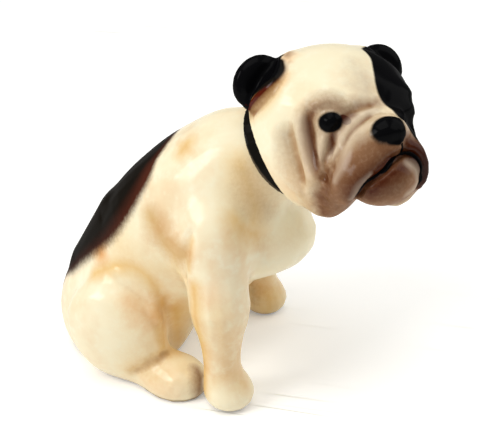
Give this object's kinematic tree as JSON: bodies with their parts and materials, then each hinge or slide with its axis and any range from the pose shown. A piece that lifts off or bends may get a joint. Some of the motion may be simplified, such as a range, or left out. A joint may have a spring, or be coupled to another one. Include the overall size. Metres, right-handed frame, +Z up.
{
  "type": "ceramic dog figurine",
  "caption": "Seated bulldog figurine in glazed slip-cast ceramic, head turned to its right, with flat seat, painted coat and moulded collar.",
  "frame": {"origin": "on the table, on the body's midline, at the middle of the flat seat under the dog", "axes": "+Z up, -Y the way the dog's chest faces, -X the dog's right"},
  "size_m": [0.0442, 0.0748, 0.0698],
  "materials": {
    "coat_glaze": "glossy ivory glaze with tan airbrushing",
    "muzzle_glaze": "glossy mauve-brown glaze",
    "ear_glaze": "glossy near-black brown glaze",
    "collar_glaze": "glossy dark brown glaze"
  },
  "bodies": {
    "root": {"body": "coat_glaze", "head": "coat_glaze", "lower_jaw": "muzzle_glaze", "ear_right": "ear_glaze", "ear_left": "ear_glaze", "foreleg_right": "coat_glaze", "foreleg_left": "coat_glaze", "hind_leg_right": "coat_glaze", "hind_leg_left": "coat_glaze", "tail": "coat_glaze", "collar": "collar_glaze"}
  },
  "joints": []
}
